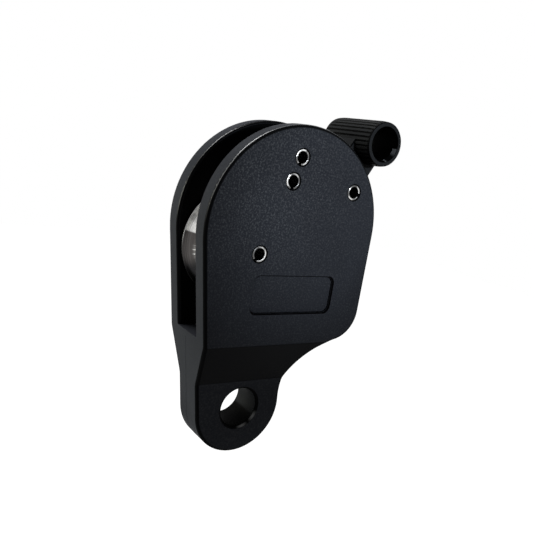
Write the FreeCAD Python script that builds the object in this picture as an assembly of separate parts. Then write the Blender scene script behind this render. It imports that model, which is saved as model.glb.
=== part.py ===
"""Halyard lock: a moulded two-cheek block with a rope sheave, a sprung toothed cam lever with a
fluted handle, and a toothed anvil, hung from a round hole in its tang.

Millimetres. X runs right as the front face is seen, Y runs away from the viewer, Z is up. The
origin is the centre of the hole in the tang, in the block's middle plane.
"""
import FreeCAD, Part
import math
import os

os.makedirs("parts", exist_ok=True)
Vec = FreeCAD.Vector

# Body: outline of the cheeks
head_radius = 30.8
head_x = 6.7
head_z = 58.2
tang_radius = 15.0
heel_radius = 10.0
throat_radius = 19.5

# Body: thicknesses and the sloping shoulders between cheeks and tang
body_thickness = 23.0
tang_thickness = 12.2
shoulder_top_z = 22.8
shoulder_bottom_z = 8.9
bend_round = 3.0
edge_round = 1.2
slot_edge_round = 1.0

# Body: hole in the tang
hole_radius = 6.35
hole_rim_round = 1.0

# Body: rope slot, closed by a floor below and a web on the right
slot_width = 11.1
slot_floor_z = 24.3
slot_corner_radius = 12.0

# Body: plain grooved frame on the front face
frame_centre_x = 9.4
frame_centre_z = 38.4
frame_width = 29.4
frame_height = 11.2
frame_corner_radius = 2.2
frame_groove_radius = 0.45

# Slotted spring pins
pin_radius = 2.38
pin_wall = 0.75
pin_slit = 1.2
pin_end_chamfer = 0.2
pin_recess = 0.1
pin_hole_countersink = 0.35
running_clearance = 0.05
slip_clearance = 0.03

# Places of the four pins
sheave_x = -5.2
sheave_z = 50.7
pivot_x = 26.0
pivot_z = 71.3
lower_anvil_pin_x = 2.4
lower_anvil_pin_z = 72.5
upper_anvil_pin_x = 4.3
upper_anvil_pin_z = 79.6

# Where the slit of each pin points, in degrees from +X towards +Z
sheave_slit_angle = -124.0
pivot_slit_angle = -17.0
upper_anvil_slit_angle = -110.0
lower_anvil_slit_angle = -93.0

# Sheave
sheave_radius = 17.0
rope_groove_depth = 3.6
sheave_rim_width = 0.55
sheave_lip_round = 0.3
sheave_dish_depth = 0.9
sheave_dish_inner_radius = 6.4
sheave_dish_outer_radius = 13.0
sheave_bush_radius = 4.6
washer_radius = 6.0
washer_thickness = 0.3
washer_gap = 0.1

# Lever
handle_reach = 18.5
handle_angle = 60.0
handle_radius = 7.1
handle_inset = 0.2
handle_crown_drop = 0.25
handle_crown_length = 3.0
handle_end_round = 0.3
handle_bore_radius = 5.6
flute_count = 32
flute_radius = 0.33
key_thickness = 0.8
key_root = 0.3
key_setback = 0.1
key_ramp_length = 1.3
key_length = 7.9
key_start_angle = -73.0
key_end_angle = -8.0
arm_width = 12.6
arm_side_gap = 0.35
arm_stop_gap = 0.02
arm_edge_round = 0.5
hub_clearance = 0.35
bush_end_gap = 0.1
lever_bush_radius = 3.6

# Cam on the lever and its toothed jaw
cam_wedge_angle = 20.0
cam_gap = 5.4
cam_neck_angle = 65.0
jaw_depth = 3.6
jaw_low_angle = 12.0
jaw_high_angle = 34.0
jaw_root_width = 4.0
jaw_root_depth = 3.0
jaw_side_gap = 0.1
cam_tooth_pitch = 1.7
tooth_depth = 0.7
tooth_land = 0.15
dowel_radius = 1.0

# Torsion spring on the lever's hub
spring_wire_radius = 0.5
spring_mean_radius = 5.0
spring_coils = 2
spring_seat_clearance = 0.1
spring_fixed_leg = 12.0
spring_lever_leg = 8.4
spring_boss_radius = 4.3

# Anvil
anvil_face_offset = 4.2
anvil_back_offset = 3.9
anvil_end_reach = 4.6
anvil_corner_radius = 1.6
anvil_side_gap = 0.15
anvil_tooth_pitch = 1.8

# Worked out from the sizes above
half_body = body_thickness / 2
half_tang = tang_thickness / 2
half_slot = slot_width / 2
half_arm = arm_width / 2
half_handle = half_body - handle_inset
half_sheave = half_slot - washer_thickness - washer_gap
lever_half = half_slot - arm_side_gap
bush_half = half_slot - bush_end_gap
far = 2 * (head_radius + head_z)
touching = 0.001
web_x = pivot_x + spring_mean_radius + spring_wire_radius + spring_seat_clearance
spring_pitch = 2 * spring_wire_radius + spring_seat_clearance
spring_slope = spring_pitch / (2 * math.pi * spring_mean_radius)
spring_turns = spring_coils + (handle_angle - 90) / 360
spring_rear_y = half_slot - spring_seat_clearance - spring_wire_radius - spring_slope * spring_fixed_leg
spring_front_y = spring_rear_y - spring_turns * spring_pitch
spring_space = spring_wire_radius + spring_seat_clearance
spring_recess_y = spring_front_y - spring_slope * spring_lever_leg - spring_space
spring_recess_radius = half_arm + hub_clearance


def at(x, z, y=0.0):
    """Return the point at x and z in the plane y."""
    return Vec(x, y, z)


def polar(centre, radius, degrees):
    """Return the point at a radius and angle about a centre, in the XZ plane."""
    angle = math.radians(degrees)
    return centre + Vec(radius * math.cos(angle), 0, radius * math.sin(angle))


def angle_of(vector):
    """Return the angle of a vector in the XZ plane, in degrees from +X towards +Z."""
    return math.degrees(math.atan2(vector.z, vector.x))


head = at(head_x, head_z)
tang = at(0, 0)
sheave_axis = at(sheave_x, sheave_z)
pivot = at(pivot_x, pivot_z)
lower_anvil_pin = at(lower_anvil_pin_x, lower_anvil_pin_z)
upper_anvil_pin = at(upper_anvil_pin_x, upper_anvil_pin_z)
handle = polar(pivot, handle_reach, handle_angle)
anvil_up = (upper_anvil_pin - lower_anvil_pin).normalize()
anvil_out = Vec(anvil_up.z, 0, -anvil_up.x)
clamp_distance = (pivot - lower_anvil_pin).dot(anvil_out) - anvil_face_offset
contact_angle = angle_of(anvil_out * -1) + cam_wedge_angle
contact_radius = (clamp_distance - cam_gap) / math.cos(math.radians(cam_wedge_angle))


def arc(centre, radius, start, end):
    """Return an arc edge in the XZ plane from one angle to another, in degrees."""
    middle = (start + end) / 2
    points = [polar(centre, radius, degrees) for degrees in (start, middle, end)]
    return Part.Arc(*points).toShape()


def line(start, end):
    """Return a straight edge."""
    return Part.LineSegment(start, end).toShape()


def slab(wire, half_thickness, middle_y=0.0):
    """Return a flat plate of a wire's shape, centred on a plane of constant y."""
    face = Part.Face(wire)
    face.translate(Vec(0, middle_y - half_thickness, 0))
    return face.extrude(Vec(0, 2 * half_thickness, 0))


def span(wire, front_y, rear_y):
    """Return a plate of a wire's shape between two planes of constant y."""
    return slab(wire, (rear_y - front_y) / 2, (rear_y + front_y) / 2)


def rod(centre, radius, front_y, rear_y):
    """Return a round rod along Y between two planes."""
    return Part.makeCylinder(radius, rear_y - front_y, centre + Vec(0, front_y, 0), Vec(0, 1, 0))


def polygon(points):
    """Return a closed wire through the points."""
    return Part.makePolygon(list(points) + [points[0]])


def circle_meet(first, first_radius, second, second_radius):
    """Return the point at given distances from two centres, on the left of the way between them."""
    across = second - first
    distance = across.Length
    along = (distance ** 2 + first_radius ** 2 - second_radius ** 2) / (2 * distance)
    height = math.sqrt(first_radius ** 2 - along ** 2)
    unit = across * (1 / distance)
    side = Vec(-unit.z, 0, unit.x)
    return first + unit * along + side * height


def outline():
    """Return the closed outline of cheeks and tang: head, straight left edge, round tang end,
    hollow throat, heel and upright right edge, each tangent to the next."""
    heel = at(head_x + head_radius - heel_radius, shoulder_top_z + heel_radius)
    throat = circle_meet(heel, heel_radius + throat_radius, tang, tang_radius + throat_radius)
    rise = head - tang
    lean = math.degrees(math.acos((tang_radius - head_radius) / rise.Length))
    left_normal = angle_of(rise) + lean
    throat_from_tang = angle_of(throat - tang)
    heel_to_throat = angle_of(throat - heel) % 360 - 360
    return Part.Wire([
        arc(head, head_radius, 0, left_normal),
        line(polar(head, head_radius, left_normal), polar(tang, tang_radius, left_normal)),
        arc(tang, tang_radius, left_normal, throat_from_tang + 360),
        arc(throat, throat_radius, throat_from_tang + 180, heel_to_throat + 180),
        arc(heel, heel_radius, heel_to_throat, 0),
        line(polar(heel, heel_radius, 0), polar(head, head_radius, 0)),
    ])


def side_profile():
    """Return the thickness profile seen from the side: full cheeks, sloping shoulders, thin tang."""
    heights = [
        (-far, half_tang),
        (shoulder_bottom_z, half_tang),
        (shoulder_top_z, half_body),
        (far, half_body),
    ]
    right = [Vec(-far, half, z) for z, half in heights]
    left = [Vec(-far, -half, z) for z, half in reversed(heights)]
    profile = Part.Face(polygon(right + left)).extrude(Vec(2 * far, 0, 0))
    bends = [
        edge for edge in profile.Edges
        if abs(edge.Length - 2 * far) < touching
        and min(abs(edge.CenterOfMass.z - z) for z in (shoulder_bottom_z, shoulder_top_z)) < touching
    ]
    return profile.makeFillet(bend_round, bends)


def slot_cutter():
    """Return the space of the rope slot: open at the left and the top, with a floor, a web on the
    right, a round relief for the lever's hub and a slanting stop under its arm."""
    corner = at(web_x - slot_corner_radius, slot_floor_z + slot_corner_radius)
    channel = Part.Wire([
        line(at(-far, slot_floor_z), at(corner.x, slot_floor_z)),
        arc(corner, slot_corner_radius, -90, 0),
        line(at(web_x, corner.z), at(web_x, far)),
        line(at(web_x, far), at(-far, far)),
        line(at(-far, far), at(-far, slot_floor_z)),
    ])
    relief_radius = half_arm + hub_clearance
    stop_side = polar(pivot, half_arm + arm_stop_gap, handle_angle - 90)
    arm_space = polygon([
        stop_side,
        polar(stop_side, far, handle_angle),
        polar(pivot, far, 90),
        pivot,
    ])
    spaces = [slab(arm_space, half_slot), rod(pivot, relief_radius, -half_slot, half_slot)]
    return slab(channel, half_slot).fuse(spaces).removeSplitter()


def rim_edges(solid, wire):
    """Return the edges of a solid that follow a wire in the XZ plane, and none that runs along Y."""
    chosen = []
    for edge in solid.Edges:
        first = edge.valueAt(edge.FirstParameter)
        middle = edge.valueAt((edge.FirstParameter + edge.LastParameter) / 2)
        last = edge.valueAt(edge.LastParameter)
        if (first - last).cross(Vec(0, 1, 0)).Length < touching and edge.Length > touching:
            continue
        flat = [Part.Vertex(point.x, 0, point.z) for point in (first, middle, last)]
        if any(vertex.distToShape(wire)[0] > touching for vertex in flat):
            continue
        chosen.append(edge)
    return chosen


def grooved_frame():
    """Return the round-bottomed groove that draws a rounded rectangle on the front face."""
    half_x = frame_width / 2 - frame_corner_radius
    half_z = frame_height / 2 - frame_corner_radius
    middle = at(frame_centre_x, frame_centre_z, -half_body)
    corners = [
        middle + at(x, z)
        for x, z in ((half_x, half_z), (-half_x, half_z), (-half_x, -half_z), (half_x, -half_z))
    ]
    path = []
    for index, corner in enumerate(corners):
        start = 90 * index
        following = corners[(index + 1) % 4]
        path.append(arc(corner, frame_corner_radius, start, start + 90))
        path.append(line(polar(corner, frame_corner_radius, start + 90),
                         polar(following, frame_corner_radius, start + 90)))
    begin = polar(corners[0], frame_corner_radius, 0)
    section = Part.Wire([Part.makeCircle(frame_groove_radius, begin, Vec(0, 0, 1))])
    return Part.Wire(path).makePipeShell([section], True, False)


def pin_hole(centre):
    """Return the cutter for one pin's hole, with a small countersink in each outer face."""
    hole = rod(centre, pin_radius, -half_body, half_body)
    mouth = pin_radius + pin_hole_countersink
    countersinks = []
    for side in (-1, 1):
        rim = centre + Vec(0, side * half_body, 0)
        cone = Part.makeCone(mouth, pin_radius, pin_hole_countersink, rim, Vec(0, -side, 0))
        countersinks.append(cone)
    return hole.fuse(countersinks)


def make_body():
    """Return the moulded body: two cheeks, floor, web, shoulders and tang in one piece."""
    wire = outline()
    body = slab(wire, half_body).common(side_profile())
    body = body.cut(slot_cutter())
    body = body.removeSplitter().Solids[0]
    outer = [edge for edge in rim_edges(body, wire) if abs(edge.CenterOfMass.y) > half_slot + touching]
    body = body.makeFillet(edge_round, outer)
    inner = [edge for edge in rim_edges(body, wire) if abs(edge.CenterOfMass.y) < half_slot + touching]
    body = body.makeFillet(slot_edge_round, inner)
    body = body.cut(rod(tang, hole_radius, -half_tang, half_tang))
    mouths = [
        edge for edge in body.Edges
        if edge.Curve.TypeId == "Part::GeomCircle"
        and abs(edge.Curve.Radius - hole_radius) < touching
        and (edge.Curve.Center - Vec(0, edge.Curve.Center.y, 0)).Length < touching
    ]
    body = body.makeFillet(hole_rim_round, mouths)
    holes = [pin_hole(place) for place in (sheave_axis, pivot, lower_anvil_pin, upper_anvil_pin)]
    body = body.cut(holes + [grooved_frame()])
    return body.Solids[0]


def make_spring_pin(centre, slit_angle):
    """Return a slotted spring pin: a rolled tube with an open slit and chamfered ends."""
    half_length = half_body - pin_recess
    tube = rod(centre, pin_radius, -half_length, half_length)
    ends = [edge for edge in tube.Edges if edge.Curve.TypeId == "Part::GeomCircle"]
    tube = tube.makeChamfer(pin_end_chamfer, ends)
    tube = tube.cut(rod(centre, pin_radius - pin_wall, -half_body, half_body))
    slit = Part.makeBox(2 * pin_radius, body_thickness, pin_slit, Vec(0, -half_body, -pin_slit / 2))
    slit.translate(centre)
    slit.rotate(centre, Vec(0, -1, 0), slit_angle)
    return tube.cut(slit)


def make_sheave():
    """Return the grooved rope wheel, turned from bar, with a dished web on each side."""
    half = half_sheave
    root = sheave_radius - rope_groove_depth
    flank = half - sheave_rim_width
    web = half - sheave_dish_depth
    lip = sheave_radius - sheave_lip_round
    eased = sheave_lip_round * math.sqrt(0.5)
    dish = [
        Vec(sheave_bush_radius, half, 0),
        Vec(sheave_dish_inner_radius, half, 0),
        Vec(sheave_dish_inner_radius + sheave_dish_depth, web, 0),
        Vec(sheave_dish_outer_radius - sheave_dish_depth, web, 0),
        Vec(sheave_dish_outer_radius, half, 0),
        Vec(lip, half, 0),
    ]
    rear = [line(start, end) for start, end in zip(dish, dish[1:])] + [
        Part.Arc(Vec(lip, half, 0),
                 Vec(lip + eased, half - sheave_lip_round + eased, 0),
                 Vec(sheave_radius, half - sheave_lip_round, 0)).toShape(),
        line(Vec(sheave_radius, half - sheave_lip_round, 0), Vec(sheave_radius, flank, 0)),
    ]
    front = [edge.mirror(Vec(0, 0, 0), Vec(0, 1, 0)) for edge in rear]
    groove = Part.Arc(Vec(sheave_radius, -flank, 0), Vec(root, 0, 0), Vec(sheave_radius, flank, 0)).toShape()
    bore = line(Vec(sheave_bush_radius, -half, 0), Vec(sheave_bush_radius, half, 0))
    profile = Part.Wire(Part.sortEdges(rear + front + [groove, bore])[0])
    sheave = Part.Face(profile).revolve(Vec(0, 0, 0), Vec(0, 1, 0), 360)
    sheave.translate(sheave_axis)
    return Part.Solid(sheave.Shells[0])


def ring(centre, outer_radius, inner_radius, front_y, rear_y):
    """Return a plain ring about an axis along Y."""
    return rod(centre, outer_radius, front_y, rear_y).cut(rod(centre, inner_radius, front_y, rear_y))


def cam_radius(degrees):
    """Return the cam's radius at an angle: a logarithmic spiral that grips harder as it is drawn up."""
    turn = math.radians(degrees - contact_angle)
    return contact_radius * math.exp(math.tan(math.radians(cam_wedge_angle)) * turn)


def cam_curve(offset, start, end):
    """Return an edge along the cam's spiral, moved in towards the pivot by an offset."""
    steps = 8
    angles = [start + (end - start) * index / steps for index in range(steps + 1)]
    curve = Part.BSplineCurve()
    curve.interpolate([polar(pivot, cam_radius(angle) - offset, angle) for angle in angles])
    return curve.toShape()


def jaw_blank(offset=0.0):
    """Return the outline of the jaw: a strip under the spiral with a square root."""
    start = contact_angle - jaw_high_angle
    end = contact_angle + jaw_low_angle
    outer = cam_curve(0, start, end)
    inner = cam_curve(jaw_depth, start, end)
    ends = [
        line(polar(pivot, cam_radius(start) - jaw_depth, start), polar(pivot, cam_radius(start), start)),
        line(polar(pivot, cam_radius(end), end), polar(pivot, cam_radius(end) - jaw_depth, end)),
    ]
    return Part.Wire(Part.sortEdges([outer, inner] + ends)[0])


def jaw_root():
    """Return the outline of the square root that keys the jaw into the lever."""
    middle = (jaw_low_angle - jaw_high_angle) / 2 + contact_angle
    top = cam_radius(middle) - jaw_depth / 2
    bottom = cam_radius(middle) - jaw_depth - jaw_root_depth
    side = polar(Vec(0, 0, 0), jaw_root_width / 2, middle + 90)
    return polygon([
        polar(pivot, bottom, middle) - side,
        polar(pivot, top, middle) - side,
        polar(pivot, top, middle) + side,
        polar(pivot, bottom, middle) + side,
    ])


def dowel_place():
    """Return the centre of the dowel that holds the jaw's root."""
    middle = (jaw_low_angle - jaw_high_angle) / 2 + contact_angle
    return polar(pivot, cam_radius(middle) - jaw_depth - jaw_root_depth / 2, middle)


def saw_notch(face_point, outward, tip_point):
    """Return the cutter between two saw teeth: a steep face at one point, then a slope up to the
    next tip."""
    root = face_point - outward * tooth_depth
    crest = face_point + outward * tooth_depth
    beyond = root + (tip_point - root) * 1.5
    return slab(polygon([root, crest, beyond]), half_slot)


def make_cam_jaw():
    """Return the toothed jaw that seats on the lever's cam."""
    half = lever_half - jaw_side_gap
    jaw = slab(jaw_blank(), half).fuse(slab(jaw_root(), half)).removeSplitter()
    start = contact_angle - jaw_high_angle
    travel = math.radians(jaw_low_angle + jaw_high_angle) * contact_radius
    count = int(travel / cam_tooth_pitch)
    step = (jaw_low_angle + jaw_high_angle) / count
    notches = []
    for index in range(count):
        angle = start + step * index
        tip_angle = angle + step * (1 - tooth_land)
        face_point = polar(pivot, cam_radius(angle), angle)
        outward = polar(Vec(0, 0, 0), 1, angle)
        notches.append(saw_notch(face_point, outward, polar(pivot, cam_radius(tip_angle), tip_angle)))
    jaw = jaw.cut(notches)
    return jaw.cut(rod(dowel_place(), dowel_radius, -lever_half, lever_half)).Solids[0]


def make_dowel():
    """Return the dowel through the lever and the jaw's root."""
    return rod(dowel_place(), dowel_radius, -lever_half, lever_half)


def make_barrel():
    """Return the handle's barrel: crowned towards its ends, where the flutes run out."""
    length, drop = handle_crown_length, handle_crown_drop
    crown = (length ** 2 + drop ** 2) / (2 * drop)
    half_drop = crown - math.sqrt(crown ** 2 - (length / 2) ** 2)
    end_radius = handle_radius - drop
    shoulder = half_handle - length
    rear = [
        Part.Arc(Vec(handle_radius, shoulder, 0),
                 Vec(handle_radius - half_drop, shoulder + length / 2, 0),
                 Vec(end_radius, half_handle, 0)).toShape(),
        line(Vec(end_radius, half_handle, 0), Vec(0, half_handle, 0)),
    ]
    front = [edge.mirror(Vec(0, 0, 0), Vec(0, 1, 0)) for edge in rear]
    straight = [
        line(Vec(handle_radius, -shoulder, 0), Vec(handle_radius, shoulder, 0)),
        line(Vec(0, -half_handle, 0), Vec(0, half_handle, 0)),
    ]
    profile = Part.Wire(Part.sortEdges(rear + front + straight)[0])
    barrel = Part.Solid(Part.Face(profile).revolve(Vec(0, 0, 0), Vec(0, 1, 0), 360).Shells[0])
    barrel.translate(handle)
    rims = [
        edge for edge in barrel.Edges
        if edge.Curve.TypeId == "Part::GeomCircle"
        and abs(abs(edge.CenterOfMass.y) - half_handle) < touching
    ]
    barrel = barrel.makeFillet(handle_end_round, rims)
    places = [polar(handle, handle_radius, 360 * index / flute_count) for index in range(flute_count)]
    return barrel.cut([rod(place, flute_radius, -half_body, half_body) for place in places])


def make_key():
    """Return the raised key in the handle's bore, with a ramp that starts at the bore's mouth."""
    outer = handle_bore_radius + key_root
    inner = handle_bore_radius - key_thickness
    front = key_setback - half_handle
    section = Part.Face(polygon([
        handle + Vec(outer, front, 0),
        handle + Vec(handle_bore_radius, front, 0),
        handle + Vec(inner, front + key_ramp_length, 0),
        handle + Vec(inner, front + key_length, 0),
        handle + Vec(outer, front + key_length, 0),
    ]))
    section.rotate(handle, Vec(0, -1, 0), key_start_angle)
    return section.revolve(handle, Vec(0, -1, 0), key_end_angle - key_start_angle)


def make_lever():
    """Return the moulded lever: hub, cam, arm and fluted hollow handle in one piece."""
    arm_direction = polar(Vec(0, 0, 0), 1, handle_angle)
    side = polar(Vec(0, 0, 0), half_arm, handle_angle + 90)
    arm = slab(Part.Wire([
        line(pivot - side, handle - side),
        line(handle - side, handle + side),
        line(handle + side, pivot + side),
        arc(pivot, half_arm, handle_angle + 90, handle_angle + 270),
    ]), lever_half)
    edges = [
        edge for edge in arm.Edges
        if abs(abs(edge.CenterOfMass.y) - lever_half) < touching
        and (edge.CenterOfMass - pivot).dot(arm_direction) < handle_reach - touching
    ]
    arm = arm.makeFillet(arm_edge_round, edges)

    start = contact_angle - jaw_high_angle
    end = contact_angle + jaw_low_angle
    seat = cam_curve(jaw_depth, start, end)
    neck_top = polar(pivot, half_arm, contact_angle - cam_neck_angle)
    neck_bottom = polar(pivot, half_arm, contact_angle + cam_neck_angle)
    cam_edges = [
        seat,
        line(polar(pivot, cam_radius(start) - jaw_depth, start), neck_top),
        line(neck_top, neck_bottom),
        line(neck_bottom, polar(pivot, cam_radius(end) - jaw_depth, end)),
    ]
    cam = slab(Part.Wire(Part.sortEdges(cam_edges)[0]), lever_half)
    cam = cam.cut(slab(jaw_root(), lever_half))
    lever = arm.fuse([cam, make_barrel()])

    recess = ring(pivot, spring_recess_radius, spring_boss_radius, spring_recess_y, half_slot)
    leg_side = polar(Vec(0, 0, 0), 1, handle_angle - 90)
    near = pivot + leg_side * (spring_mean_radius - spring_space)
    wide = pivot + leg_side * (spring_mean_radius + spring_space)
    reach = arm_direction * (spring_lever_leg + spring_seat_clearance)
    groove = span(polygon([near, near + reach, wide + reach, wide]), spring_recess_y, half_slot)
    bore = rod(handle, handle_bore_radius, -half_handle, half_handle)
    lever = lever.cut([recess, groove, bore, rod(pivot, lever_bush_radius, -half_slot, half_slot),
                       rod(dowel_place(), dowel_radius, -half_slot, half_slot)])
    return lever.fuse(make_key()).removeSplitter().Solids[0]


def make_spring():
    """Return the torsion spring: a close coil about the hub, one leg along the lever's arm and one
    leg down against the body's web."""
    height = spring_turns * spring_pitch
    coil = Part.makeHelix(spring_pitch, height, spring_mean_radius)
    coil.rotate(Vec(0, 0, 0), Vec(1, 0, 0), -90)
    coil.rotate(Vec(0, 0, 0), Vec(0, -1, 0), handle_angle - 90)
    coil.translate(pivot + Vec(0, spring_front_y, 0))
    first, last = coil.Edges[0], coil.Edges[-1]
    start = first.valueAt(first.FirstParameter)
    end = last.valueAt(last.LastParameter)
    lever_tip = start - first.tangentAt(first.FirstParameter) * spring_lever_leg
    fixed_tip = end + last.tangentAt(last.LastParameter) * spring_fixed_leg
    path = Part.Wire([line(lever_tip, start)] + coil.Edges + [line(end, fixed_tip)])
    section = Part.Wire([Part.makeCircle(spring_wire_radius, lever_tip, start - lever_tip)])
    return path.makePipeShell([section], True, True)


def make_anvil():
    """Return the fixed toothed block that the rope is pressed against."""
    half = half_slot - anvil_side_gap
    low = lower_anvil_pin - anvil_up * anvil_end_reach
    high = upper_anvil_pin + anvil_up * anvil_end_reach
    block = slab(polygon([
        low + anvil_out * anvil_face_offset,
        high + anvil_out * anvil_face_offset,
        high - anvil_out * anvil_back_offset,
        low - anvil_out * anvil_back_offset,
    ]), half)
    corners = [edge for edge in block.Edges if abs(edge.tangentAt(edge.FirstParameter).y) > 0.99]
    block = block.makeFillet(anvil_corner_radius, corners)
    length = (high - low).Length - 2 * anvil_corner_radius
    count = int(length / anvil_tooth_pitch)
    step = length / count
    first_face = high + anvil_out * anvil_face_offset - anvil_up * anvil_corner_radius
    notches = []
    for index in range(count):
        face_point = first_face - anvil_up * (step * index)
        notches.append(saw_notch(face_point, anvil_out, face_point - anvil_up * (step * (1 - tooth_land))))
    holes = [rod(place, pin_radius + slip_clearance, -half_slot, half_slot)
             for place in (lower_anvil_pin, upper_anvil_pin)]
    return block.cut(notches + holes).Solids[0]


pin_bore = pin_radius + running_clearance
washer_rear_y = half_sheave + washer_gap / 2
washer_front_y = -washer_rear_y - washer_thickness


def washer(front_y):
    """Return a thrust washer for the sheave with its front face in a given plane."""
    return ring(sheave_axis, washer_radius, pin_bore, front_y, front_y + washer_thickness)


PARTS = {
    "body": make_body(),
    "sheave": make_sheave(),
    "sheave_bush": ring(sheave_axis, sheave_bush_radius, pin_bore, -half_sheave, half_sheave),
    "sheave_washer_front": washer(washer_front_y),
    "sheave_washer_rear": washer(washer_rear_y),
    "sheave_axle_pin": make_spring_pin(sheave_axis, sheave_slit_angle),
    "lever": make_lever(),
    "lever_bush": ring(pivot, lever_bush_radius, pin_bore, -bush_half, bush_half),
    "lever_pivot_pin": make_spring_pin(pivot, pivot_slit_angle),
    "lever_spring": make_spring(),
    "cam_jaw": make_cam_jaw(),
    "cam_jaw_dowel": make_dowel(),
    "anvil": make_anvil(),
    "anvil_pin_upper": make_spring_pin(upper_anvil_pin, upper_anvil_slit_angle),
    "anvil_pin_lower": make_spring_pin(lower_anvil_pin, lower_anvil_slit_angle),
}

for name, shape in PARTS.items():
    shape.exportStep(f"parts/{name}.step")
    print(f"{name}: valid {shape.isValid()}, solids {len(shape.Solids)}, volume {shape.Volume:.1f} mm3")
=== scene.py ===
"""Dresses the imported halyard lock: smooth-shaded mouldings, a turned sheave, rolled spring pins,
mould marks, procedural finishes, the studio and the camera at the photograph's angle."""
import logging
import math
from dataclasses import dataclass, field
from enum import Enum
from typing import Callable, Sequence

import bpy
from mathutils import Matrix, Vector

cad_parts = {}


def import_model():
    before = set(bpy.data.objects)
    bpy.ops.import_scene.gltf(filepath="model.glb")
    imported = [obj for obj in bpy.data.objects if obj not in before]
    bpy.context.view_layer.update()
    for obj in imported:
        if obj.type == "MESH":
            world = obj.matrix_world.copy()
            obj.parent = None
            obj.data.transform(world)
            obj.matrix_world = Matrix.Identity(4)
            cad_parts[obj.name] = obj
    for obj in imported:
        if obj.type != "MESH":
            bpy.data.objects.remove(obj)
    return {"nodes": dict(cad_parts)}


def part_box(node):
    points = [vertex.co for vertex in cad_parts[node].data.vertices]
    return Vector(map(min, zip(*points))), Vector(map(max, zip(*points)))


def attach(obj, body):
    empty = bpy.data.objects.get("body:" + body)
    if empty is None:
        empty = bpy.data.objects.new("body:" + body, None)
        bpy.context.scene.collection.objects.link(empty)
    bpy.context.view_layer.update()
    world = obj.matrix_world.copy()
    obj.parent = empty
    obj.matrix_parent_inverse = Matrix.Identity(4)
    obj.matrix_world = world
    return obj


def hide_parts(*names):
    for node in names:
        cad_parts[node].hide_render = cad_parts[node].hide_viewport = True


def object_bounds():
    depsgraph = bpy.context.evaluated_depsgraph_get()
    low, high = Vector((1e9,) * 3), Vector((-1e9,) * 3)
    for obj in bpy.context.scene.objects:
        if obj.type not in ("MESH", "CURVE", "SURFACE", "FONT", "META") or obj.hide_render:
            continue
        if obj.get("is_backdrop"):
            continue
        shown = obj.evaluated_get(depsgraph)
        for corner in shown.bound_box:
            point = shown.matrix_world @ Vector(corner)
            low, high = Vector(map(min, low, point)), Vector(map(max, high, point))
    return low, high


log = logging.getLogger("halyard_lock")
MM = 0.001
JOIN_MM = 0.002
DRAWN_MM = 0.001
CREASE_DEGREES = 28.0
HANDLE_RADIUS = 7.1 * MM
ORIGIN = Vector((0.0, 0.0, 0.0))
Y_AXIS = Vector((0.0, 1.0, 0.0))
WHITE = (1.0, 1.0, 1.0)
Colour = tuple[float, float, float]
Pair = tuple[float, float]
Piece = bpy.types.Object
Material = bpy.types.Material
Socket = bpy.types.NodeSocket


class Body(Enum):
    """The rigid bodies that a piece can ride on."""

    BLOCK = "block"
    ROPE_WHEEL = "rope_wheel"
    CAM_LEVER = "cam_lever"


class Slot(Enum):
    """The record's material slots."""

    BODY = "body_plastic"
    LEVER = "lever_plastic"
    SHEAVE = "polished_steel"
    PIN = "pin_steel"
    JAW = "jaw_steel"
    SPRING = "spring_steel"
    BEARING = "bearing_plastic"


def leave_edit() -> None:
    """Go back to object mode."""
    bpy.ops.object.mode_set(mode="OBJECT")


def deselect_all() -> None:
    """Leave no object selected or in edit mode."""
    if bpy.context.object and bpy.context.object.mode != "OBJECT":
        leave_edit()
    bpy.ops.object.select_all(action="DESELECT")


def activate(piece: Piece) -> None:
    """Make one object the only selected and the active one."""
    deselect_all()
    piece.select_set(True)
    bpy.context.view_layer.objects.active = piece


def edit_all(piece: Piece) -> None:
    """Enter edit mode on a piece, with all its vertices selected."""
    activate(piece)
    bpy.ops.object.mode_set(mode="EDIT")
    bpy.ops.mesh.select_mode(type="VERT")
    bpy.ops.mesh.select_all(action="SELECT")


def select_faces(piece: Piece, chosen: Callable[[bpy.types.MeshPolygon], bool]) -> None:
    """Select some faces of a piece, and enter edit mode.

    Args:
        piece: the mesh object.
        chosen: says of a face whether it is selected.
    """
    activate(piece)
    bpy.ops.object.mode_set(mode="EDIT")
    bpy.ops.mesh.select_mode(type="FACE")
    bpy.ops.mesh.select_all(action="DESELECT")
    leave_edit()
    for face in piece.data.polygons:
        face.select = chosen(face)
    bpy.ops.object.mode_set(mode="EDIT")


def extrude(move: Vector) -> None:
    """Extrude what is selected along a vector."""
    bpy.ops.mesh.extrude_region_move(TRANSFORM_OT_translate={"value": move})


def shade(piece: Piece, crease_degrees: float) -> None:
    """Shade a piece smooth, with creases and with normals weighted by face area.

    Args:
        piece: the mesh object.
        crease_degrees: edges sharper than this stay creased.
    """
    activate(piece)
    bpy.ops.object.shade_smooth_by_angle(angle=math.radians(crease_degrees))
    weighted = piece.modifiers.new("weighted", "WEIGHTED_NORMAL")
    weighted.keep_sharp = True
    weighted.weight = 100
    bpy.ops.object.modifier_apply(modifier=weighted.name)


def close_solid(piece: Piece, crease_degrees: float, join_mm: float = 0.0) -> None:
    """Turn the faces of the piece in edit mode outwards, leave edit mode and shade it.

    Args:
        piece: the mesh object.
        crease_degrees: edges sharper than this stay creased.
        join_mm: corners nearer than this are merged first.
    """
    bpy.ops.mesh.select_all(action="SELECT")
    if join_mm:
        bpy.ops.mesh.remove_doubles(threshold=join_mm * MM)
        bpy.ops.mesh.select_all(action="SELECT")
    bpy.ops.mesh.normals_make_consistent(inside=False)
    leave_edit()
    shade(piece, crease_degrees)


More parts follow.
